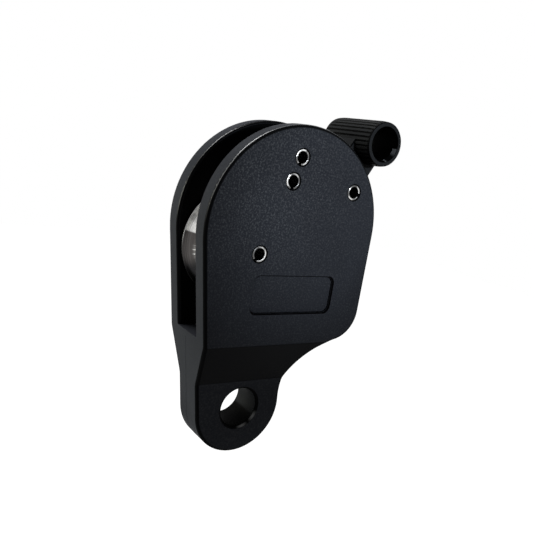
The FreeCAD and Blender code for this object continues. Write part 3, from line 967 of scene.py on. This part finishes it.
@dataclass
class Block:
    """The moulded block with its anvil, its parting line and the mark of its gate."""

    # from the tang's round up along the straight left edge
    edge_direction: Vector = field(default_factory=lambda: Vector((-8.9, 0.0, 55.71)).normalized())
    edge_foot: Vector = Vector((-14.812, 0.0, -2.367))  # where that edge meets the round, in millimetres
    edge_length_mm: float = 25.0  # how far up the parting line runs
    round_mm: float = 15.0  # the tang's radius
    round_degrees: float = 42.0  # how far the line runs on round the tang
    parting_y_mm: float = 0.8  # where the mould's halves met
    ridge_half_mm: float = 0.13  # half the ridge's width
    ridge_height_mm: float = 0.05  # how far it stands out
    ridge_sunk_mm: float = 0.02  # how far its foot reaches into the block
    ridge_steps: int = 12  # faces along each of its two stretches
    ridge_crease: float = 60.0  # its edges sharper than this stay creased, in degrees
    gate_radius_mm: float = 0.55  # radius of the gate's stub
    gate_steps: int = 32  # faces round it
    gate_height_mm: float = 0.16  # the stub's height, half of it in the block
    gate_rim_mm: float = 0.12  # width of the flat rim on its top
    dimple_slope_mm: float = 0.16  # width of the slope inside that rim
    dimple_mm: float = 0.08  # depth of the dimple
    gate_y_mm: float = 1.7  # the stub's place along Y
    gate_degrees: float = 3.5  # its place round the tang, above the side towards -X
    gate_crease: float = 40.0  # its edges sharper than this stay creased, in degrees
    # the middle of the sunk panel on the front, in millimetres
    panel_centre: Vector = Vector((9.4, -11.5, 38.4))
    panel_size: Vector = Vector((29.8, 1.0, 11.6))  # its width, depth and height
    panel_corner_mm: float = 2.4  # radius of its corners
    corner_steps: int = 14  # faces round each corner
    panel_foot_mm: float = 0.22  # rounding round its floor
    foot_steps: int = 4  # faces across that rounding
    panel_lip_mm: float = 0.32  # chamfer round its mouth
    flat_degrees: float = 0.05  # edges flatter than this are dissolved after the cut

    def panel_cutter(self) -> Piece:
        """Make the body that the panel is cut with: its mouth is flared and its foot rounded.

        Returns:
            The cutter.
        """
        width, depth, height = self.panel_size * MM
        lip, face = self.panel_lip_mm * MM, self.panel_centre * MM
        floor = face + Y_AXIS * depth
        deselect_all()
        bpy.ops.mesh.primitive_plane_add(size=1.0, location=floor, rotation=(math.pi / 2, 0.0, 0.0))
        cutter = bpy.context.object
        cutter.name = "panel_cutter"
        cutter.scale = (width, height, 1.0)
        bpy.ops.object.transform_apply(location=True, rotation=True, scale=True)
        edit_all(cutter)
        corner = self.panel_corner_mm * MM
        bpy.ops.mesh.bevel(offset=corner, segments=self.corner_steps, affect="VERTICES")
        bpy.ops.mesh.select_mode(type="FACE")
        bpy.ops.mesh.select_all(action="SELECT")
        extrude(Y_AXIS * (lip - depth))
        extrude(Y_AXIS * -lip)
        flare = (1.0 + 2 * lip / width, 1.0, 1.0 + 2 * lip / height)
        bpy.ops.transform.resize(value=flare, center_override=face)
        extrude(Y_AXIS * -depth)
        bpy.ops.mesh.select_all(action="SELECT")
        bpy.ops.mesh.normals_make_consistent(inside=False)
        leave_edit()
        near_floor = floor.y - JOIN_MM * MM
        select_faces(cutter, lambda polygon: polygon.center.y > near_floor)
        bpy.ops.mesh.region_to_loop()
        bpy.ops.mesh.bevel(offset=self.panel_foot_mm * MM, segments=self.foot_steps, affect="EDGES")
        leave_edit()
        return cutter

    def cut_panel(self, block: Piece) -> None:
        """Sink the panel into the front.

        Args:
            block: the block's copy.
        """
        cutter = self.panel_cutter()
        activate(block)
        cut = block.modifiers.new("panel", "BOOLEAN")
        cut.operation = "DIFFERENCE"
        cut.solver = "EXACT"
        cut.object = cutter
        bpy.ops.object.modifier_apply(modifier=cut.name)
        bpy.data.objects.remove(cutter, do_unlink=True)
        join_faces(block)
        edit_all(block)
        bpy.ops.mesh.dissolve_limited(angle_limit=math.radians(self.flat_degrees))
        bpy.ops.mesh.select_all(action="SELECT")
        bpy.ops.mesh.quads_convert_to_tris(quad_method="BEAUTY", ngon_method="BEAUTY")
        leave_edit()
        log.info("%s: front panel sunk, %d faces", block.name, len(block.data.polygons))

    def build_parting_line(self, kit: Kit) -> None:
        """Draw the ridge's cross-section, extrude it down the straight edge and spin it round the
        tang.

        Args:
            kit: nodes and materials.
        """
        outward = Vector((-self.edge_direction.z, 0.0, self.edge_direction.x)) * MM
        run = self.edge_direction * (self.edge_length_mm * MM)
        middle = (self.edge_foot + Y_AXIS * self.parting_y_mm) * MM + run
        half = Y_AXIS * (self.ridge_half_mm * MM)
        foot = middle - outward * self.ridge_sunk_mm
        piece = drawn_outline(
            "mould_parting_line", [foot - half, middle + outward * self.ridge_height_mm, foot + half],
        )
        bpy.ops.mesh.edge_face_add()
        for _ in range(self.ridge_steps):
            extrude(-run / self.ridge_steps)
        turn = math.radians(self.round_degrees)
        bpy.ops.mesh.spin(steps=self.ridge_steps, angle=turn, center=ORIGIN, axis=Y_AXIS)
        close_solid(piece, self.ridge_crease, DRAWN_MM)
        kit.hang(piece, Slot.BODY, Body.BLOCK)

    def build_gate_mark(self, kit: Kit) -> None:
        """Make the trimmed stub of the gate: a low round with a dimple in its top.

        Args:
            kit: nodes and materials.
        """
        deselect_all()
        angle = math.radians(self.gate_degrees)
        outward = Vector((-math.cos(angle), 0.0, math.sin(angle)))
        bpy.ops.mesh.primitive_cylinder_add(
            vertices=self.gate_steps, radius=self.gate_radius_mm * MM, depth=self.gate_height_mm * MM,
            location=outward * (self.round_mm * MM) + Y_AXIS * (self.gate_y_mm * MM),
            rotation=(0.0, angle - math.pi / 2, 0.0),
        )
        piece = bpy.context.object
        piece.name = "mould_gate_mark"
        bpy.ops.object.transform_apply(location=True, rotation=True, scale=True)
        select_faces(piece, lambda face: face.normal.dot(outward) > 0.9)
        bpy.ops.mesh.inset(thickness=self.gate_rim_mm * MM)
        bpy.ops.mesh.inset(thickness=self.dimple_slope_mm * MM, depth=-self.dimple_mm * MM)
        leave_edit()
        shade(piece, self.gate_crease)
        kit.hang(piece, Slot.BODY, Body.BLOCK)

    def build(self, kit: Kit) -> None:
        """Build the block and everything moulded on it or fixed in its slot.

        Args:
            kit: nodes and materials.
        """
        block = merged_copy(kit.nodes["body"], "block")
        self.cut_panel(block)
        shade(block, CREASE_DEGREES)
        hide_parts("body")
        kit.hang(block, Slot.BODY, Body.BLOCK)
        kit.stand_in("anvil", "rope_anvil", Slot.JAW, Body.BLOCK)
        self.build_parting_line(kit)
        self.build_gate_mark(kit)


@dataclass(frozen=True)
class PinPlace:
    """Where one spring pin sits."""

    node: str  # the frame node that it replaces
    x_mm: float  # its place along X
    z_mm: float  # its place along Z
    slit_degrees: float  # where its slit points, from +X towards +Z


@dataclass
class SpringPins:
    """The four slotted spring pins through the cheeks, rolled from strip with rounded ends."""

    radius_mm: float = 2.38  # of the pin
    wall_mm: float = 0.55  # the strip's thickness
    half_length_mm: float = 11.4  # half the pin's length
    end_round_mm: float = 0.24  # rounding of the outer edge at each end
    eased_mm: float = 0.1  # easing of the inner edge at each end
    slit_mm: float = 1.2  # the slit's width
    steps: int = 60  # faces round the pin
    end_steps: tuple[int, int] = (5, 3)  # faces across the rounding at each end, outside and inside
    crease_degrees: float = 32.0  # edges sharper than this stay creased
    # where each pin sits
    places: tuple[PinPlace, ...] = (
        PinPlace("sheave_axle_pin", -5.2, 50.7, -124.0),
        PinPlace("lever_pivot_pin", 26.0, 71.3, -17.0),
        PinPlace("anvil_pin_lower", 2.4, 72.5, -93.0),
        PinPlace("anvil_pin_upper", 4.3, 79.6, -110.0),
    )

    def section(self) -> list[Pair]:
        """Return the strip's section as radius and place along the pin, in millimetres."""
        inner, half = self.radius_mm - self.wall_mm, self.half_length_mm
        outer_centre = (self.radius_mm - self.end_round_mm, half - self.end_round_mm)
        inner_centre = (inner + self.eased_mm, half - self.eased_mm)
        end = [
            *arc_points(outer_centre, self.end_round_mm, 0.0, 90.0, self.end_steps[0]),
            *arc_points(inner_centre, self.eased_mm, 90.0, 180.0, self.end_steps[1]),
        ]
        return end + mirrored(end)

    def roll(self, place: PinPlace) -> Piece:
        """Roll one pin: its section, filled, is spun from one side of the slit to the other.

        Args:
            place: where the pin sits.

        Returns:
            The pin.
        """
        centre = Vector((place.x_mm, 0.0, place.z_mm)) * MM
        half_gap = math.degrees(math.asin(self.slit_mm / 2 / (self.radius_mm - self.wall_mm / 2)))
        start = math.radians(place.slit_degrees + half_gap)
        outward = Vector((math.cos(start), 0.0, math.sin(start)))
        corners = [centre + (outward * radius + Y_AXIS * along) * MM for radius, along in self.section()]
        piece = drawn_outline(f"rolled_{place.node}", corners)
        bpy.ops.mesh.edge_face_add()
        turn = math.radians(360.0 - 2 * half_gap)
        bpy.ops.mesh.spin(steps=self.steps, angle=turn, center=centre, axis=Y_AXIS)
        close_solid(piece, self.crease_degrees)
        return piece

    def build(self, kit: Kit) -> None:
        """Roll and dress each pin.

        Args:
            kit: nodes and materials.
        """
        for place in self.places:
            piece = self.roll(place)
            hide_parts(place.node)
            kit.hang(piece, Slot.PIN, Body.BLOCK)


@dataclass
class RopeWheel:
    """The turned rope wheel on its bush, between thrust washers."""

    centre: Vector  # the middle of its axis, in metres
    half_mm: float  # half its width
    rim_mm: float  # its radius
    groove_depth_mm: float = 3.6  # depth of the rope groove at the middle
    groove_steps: int = 28  # faces across the groove
    lip_mm: float = 0.95  # width of each lip
    lip_round_mm: float = 0.3  # rounding of the lips' corners
    lip_ease_mm: Pair = (0.05, 0.03)  # corner of lip and groove, below the rim and past the groove
    bore_mm: float = 4.6  # radius of the bore
    eased_mm: float = 0.1  # chamfer of the bore and of the groove's edge
    dish_mm: float = 0.9  # depth of the dished web on each side
    dish_inner_mm: float = 6.4  # radius where the dish starts
    dish_outer_mm: float = 13.0  # radius where it ends
    arc_steps: int = 6  # faces across each rounding of the side
    steps: int = 192  # faces round the wheel
    crease_degrees: float = 30.0  # edges sharper than this stay creased

    def side(self) -> list[Pair]:
        """Return the profile of the far side, from the bore out to the groove, in millimetres."""
        half, dish, eased, steps = self.half_mm, self.dish_mm, self.eased_mm, self.arc_steps
        lip = (self.rim_mm - self.lip_round_mm, half - self.lip_round_mm)
        groove = half - self.lip_mm
        return [
            (self.bore_mm, half - eased),
            (self.bore_mm + eased, half),
            (self.dish_inner_mm, half),
            *arc_points((self.dish_inner_mm + dish, half), dish, 180.0, 270.0, steps),
            *arc_points((self.dish_outer_mm - dish, half), dish, 270.0, 360.0, steps),
            *arc_points(lip, self.lip_round_mm, 90.0, 0.0, steps),
            (self.rim_mm, groove + eased),
            (self.rim_mm - self.lip_ease_mm[0], groove + self.lip_ease_mm[1]),
        ]

    def groove(self) -> list[Pair]:
        """Return the rope groove's profile, from its far edge to its near edge, in millimetres."""
        half, depth = self.half_mm - self.lip_mm, self.groove_depth_mm
        radius = (half ** 2 + depth ** 2) / (2 * depth)
        reach = math.degrees(math.asin(half / radius))
        middle = (self.rim_mm - depth + radius, 0.0)
        return arc_points(middle, radius, 180.0 - reach, 180.0 + reach, self.groove_steps)[1:-1]

    def turn(self) -> Piece:
        """Turn the wheel: its closed profile is spun once round the axis.

        Returns:
            The wheel.
        """
        far = self.side()
        profile = far + self.groove() + mirrored(far)
        corners = [self.centre + Vector((radius, along, 0.0)) * MM for radius, along in profile]
        piece = drawn_outline("rope_sheave", corners)
        bpy.ops.mesh.spin(steps=self.steps, angle=2 * math.pi, center=self.centre, axis=Y_AXIS)
        close_solid(piece, self.crease_degrees, JOIN_MM)
        return piece

    def build(self, kit: Kit) -> None:
        """Turn the wheel, and build its bush and washers from their nodes.

        Args:
            kit: nodes and materials.
        """
        wheel = self.turn()
        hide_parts("sheave")
        kit.hang(wheel, Slot.SHEAVE, Body.ROPE_WHEEL)
        kit.stand_in("sheave_bush", "wheel_bush", Slot.BEARING, Body.ROPE_WHEEL)
        for end in ("front", "rear"):
            kit.stand_in(f"sheave_washer_{end}", f"thrust_washer_{end}", Slot.BEARING, Body.BLOCK)


@dataclass
class CamLever:
    """The moulded lever with its toothed jaw, dowel, bush and spring."""

    tooth_crease: float = 20.0  # edges of the jaw sharper than this stay creased, in degrees
    wire_crease: float = 40.0  # the same for the spring's wire

    def build(self, kit: Kit) -> None:
        """Build each piece from its node.

        Args:
            kit: nodes and materials.
        """
        body = Body.CAM_LEVER
        kit.stand_in("lever", "cam_lever_moulding", Slot.LEVER, body)
        kit.stand_in("cam_jaw", "toothed_cam_jaw", Slot.JAW, body, self.tooth_crease)
        kit.stand_in("cam_jaw_dowel", "jaw_dowel", Slot.PIN, body)
        kit.stand_in("lever_bush", "pivot_bush", Slot.BEARING, body)
        kit.stand_in("lever_spring", "closing_spring", Slot.SPRING, body, self.wire_crease)


@dataclass(frozen=True)
class PhotoCamera:
    """The photograph's camera, in the part's frame."""

    place: Vector = Vector((-0.10497, -0.1572, 0.08205))  # in metres
    yaw_degrees: float = 35.30  # turned from +Y towards +X
    pitch_degrees: float = 11.14  # looking down
    roll_degrees: float = 9.29  # right side of the frame tilted up
    focal_px: float = 625.0  # focal length in pixels of the photograph
    frame_px: float = 535.0  # the photograph's width
    sensor_mm: float = 36.0  # the sensor's width
    nearest: float = 0.01  # distance from which things are seen, in metres

    def build(self) -> None:
        """Make the camera and make it the scene's."""
        yaw, pitch = math.radians(self.yaw_degrees), math.radians(self.pitch_degrees)
        roll = math.radians(self.roll_degrees)
        level = Vector((math.sin(yaw), math.cos(yaw), 0.0))
        forward = level * math.cos(pitch) - Vector((0.0, 0.0, math.sin(pitch)))
        level_right = Vector((level.y, -level.x, 0.0))
        level_up = level_right.cross(forward)
        right = level_right * math.cos(roll) + level_up * math.sin(roll)
        up = level_up * math.cos(roll) - level_right * math.sin(roll)
        data = bpy.data.cameras.new("photo_camera")
        data.sensor_width = self.sensor_mm
        data.lens = self.focal_px / self.frame_px * self.sensor_mm
        data.clip_start = self.nearest
        camera = bpy.data.objects.new("photo_camera", data)
        bpy.context.scene.collection.objects.link(camera)
        turn = Matrix((right, up, -forward)).transposed().to_4x4()
        camera.matrix_world = Matrix.Translation(self.place) @ turn
        bpy.context.scene.camera = camera


@dataclass(frozen=True, kw_only=True)
class Lamp:
    """What every lamp has."""

    name: str  # the lamp's name
    aim: Vector  # the point that it faces, in metres
    power: float  # in watts
    colour: Colour = WHITE  # of the light

    def put_up(self, data: bpy.types.Light, place: Vector) -> None:
        """Set the lamp's power and colour and put it in its place.

        Args:
            data: the lamp's light.
            place: in metres.
        """
        data.energy = self.power
        data.color = self.colour
        lamp = bpy.data.objects.new(self.name, data)
        bpy.context.scene.collection.objects.link(lamp)
        lamp.location = place
        lamp.rotation_euler = (self.aim - place).to_track_quat("-Z", "Y").to_euler()


@dataclass(frozen=True, kw_only=True)
class SoftBox(Lamp):
    """One square area lamp."""

    place: Vector  # in metres
    side: float  # of the square, in metres

    def build(self) -> None:
        """Make the lamp."""
        data = bpy.data.lights.new(self.name, "AREA")
        data.shape = "SQUARE"
        data.size = self.side
        self.put_up(data, self.place)


@dataclass(frozen=True, kw_only=True)
class SoftSpot(Lamp):
    """One spot lamp whose light fades from the middle of its cone to the edge."""

    bearing: Vector  # the direction from the aim to the lamp
    distance: float  # from the aim, in metres
    reach: float  # radius of the lit round there, in metres
    blend: float  # share of the round over which the light fades out
    softness: float = 0.04  # the lamp's radius as a share of its distance

    def build(self) -> None:
        """Make the lamp."""
        data = bpy.data.lights.new(self.name, "SPOT")
        data.spot_size = 2 * math.atan(self.reach / self.distance)
        data.spot_blend = self.blend
        data.shadow_soft_size = self.softness * self.distance
        self.put_up(data, self.aim + self.bearing.normalized() * self.distance)


@dataclass
class Studio:
    """A plain pale floor under soft lamps, with a white surround for the camera and for reflections."""

    middle: Vector = Vector((0.0, 0.0, 0.045))  # the point that the soft boxes face, in metres
    floor_drop: float = 0.3  # from the lowest point of the lock to the floor, in metres
    floor_span: float = 4.0  # the floor's side, in metres
    floor_colour: Colour = (0.8, 0.8, 0.8)  # the floor's colour for everything but the camera
    floor_roughness: float = 0.9  # its roughness for the same
    surround: float = 0.11  # the surround's strength for the light on the lock
    floor_glow: float = 0.9  # the seen floor's own white near the lock, where its shadow falls
    floor_share: float = 0.25  # how much of the light on it the seen floor shows
    shadow_reach: Pair = (0.35, 0.7)  # metres from the lock's foot between which the floor turns white

    def seen_directly(self, tree: NodeTree) -> Socket:
        """Find camera, mirror and transmitted rays.

        Args:
            tree: the tree that asks.

        Returns:
            A socket that is 1 for them.
        """
        path = tree.add("ShaderNodeLightPath").outputs
        shiny = tree.math("MAXIMUM", path["Is Glossy Ray"], path["Is Transmission Ray"])
        return tree.math("MAXIMUM", path["Is Camera Ray"], shiny)

    def build_world(self) -> None:
        """Make the surround: white where it is seen, dim where it only lights."""
        world = bpy.data.worlds.new("studio")
        world.use_nodes = True
        bpy.context.scene.world = world
        tree = NodeTree(world.node_tree)
        strength = tree.ramp(self.seen_directly(tree), 0.0, 1.0, self.surround, 1.0)
        tree.set(world.node_tree.nodes["Background"], Color=(*WHITE, 1.0), Strength=strength)

    def build_floor(self, lowest: float) -> None:
        """Make the floor.

        Args:
            lowest: the height of the lock's lowest point, in metres.
        """
        deselect_all()
        place = (0.0, 0.0, lowest - self.floor_drop)
        bpy.ops.mesh.primitive_plane_add(size=self.floor_span, location=place)
        floor = bpy.context.object
        floor.name = "studio_floor"
        canvas = Canvas("studio_floor")
        tree, matte = canvas.tree, canvas.shader
        tree.set(matte, Base_Color=(*self.floor_colour, 1.0), Roughness=self.floor_roughness)
        out = tree.vector_math("LENGTH", canvas.values["Object"]).outputs["Value"]
        glow = tree.ramp(out, *self.shadow_reach, self.floor_glow, 1.0)
        white = tree.add("ShaderNodeEmission", Color=(*WHITE, 1.0), Strength=glow)
        shown_colour = (*(self.floor_share * share for share in self.floor_colour), 1.0)
        shown = tree.add("ShaderNodeBsdfDiffuse", Color=shown_colour)
        seen = tree.add("ShaderNodeAddShader")
        both = tree.add("ShaderNodeMixShader")
        for socket, value in (
            (seen.inputs[0], white.outputs[0]),
            (seen.inputs[1], shown.outputs[0]),
            (both.inputs[0], self.seen_directly(tree)),
            (both.inputs[1], matte.outputs[0]),
            (both.inputs[2], seen.outputs[0]),
            (tree.tree.nodes["Material Output"].inputs["Surface"], both.outputs[0]),
        ):
            tree.put(socket, value)
        dress(floor, canvas.material)
        floor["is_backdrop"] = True

    def build_lamps(self) -> None:
        """Make the lamps: a spot from the right, a soft box on the left and one above."""
        SoftSpot(
            name="key_right", aim=Vector((0.02, -0.0115, 0.072)), bearing=Vector((0.12, -0.97, 0.22)),
            distance=0.5, reach=0.048, blend=0.5, power=10.5, colour=(0.85, 0.925, 1.0),
        ).build()
        SoftBox(
            name="side_left", place=Vector((-0.9, 0.58, 0.05)), aim=self.middle, side=0.6, power=13.0,
            colour=(1.0, 1.0, 0.84),
        ).build()
        SoftBox(
            name="above", place=Vector((-0.25, 0.3, 0.95)), aim=self.middle, side=0.5, power=12.0,
        ).build()

    def build(self, lowest: float) -> None:
        """Make the whole studio and set how its light is shown.

        Args:
            lowest: the height of the lock's lowest point, in metres.
        """
        self.build_world()
        self.build_floor(lowest)
        self.build_lamps()
        bpy.context.scene.view_settings.view_transform = "Standard"


def main() -> None:
    """Build the whole scene, piece by piece."""
    logging.basicConfig(level=logging.INFO, format="%(message)s")
    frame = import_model()
    cad_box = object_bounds()
    low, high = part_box("sheave")
    sheave_centre = (low + high) / 2
    handle_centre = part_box("lever")[1] - Vector((HANDLE_RADIUS, 0.0, HANDLE_RADIUS))
    materials = make_materials(sheave_centre, Vector((handle_centre.x, 0.0, handle_centre.z)))
    kit = Kit(frame["nodes"], materials)
    Block().build(kit)
    SpringPins().build(kit)
    wheel = RopeWheel(sheave_centre, half_mm=(high.y - low.y) / 2 / MM, rim_mm=(high.x - low.x) / 2 / MM)
    wheel.build(kit)
    CamLever().build(kit)
    PhotoCamera().build()
    Studio().build(cad_box[0][2])


if __name__ == "__main__":
    main()
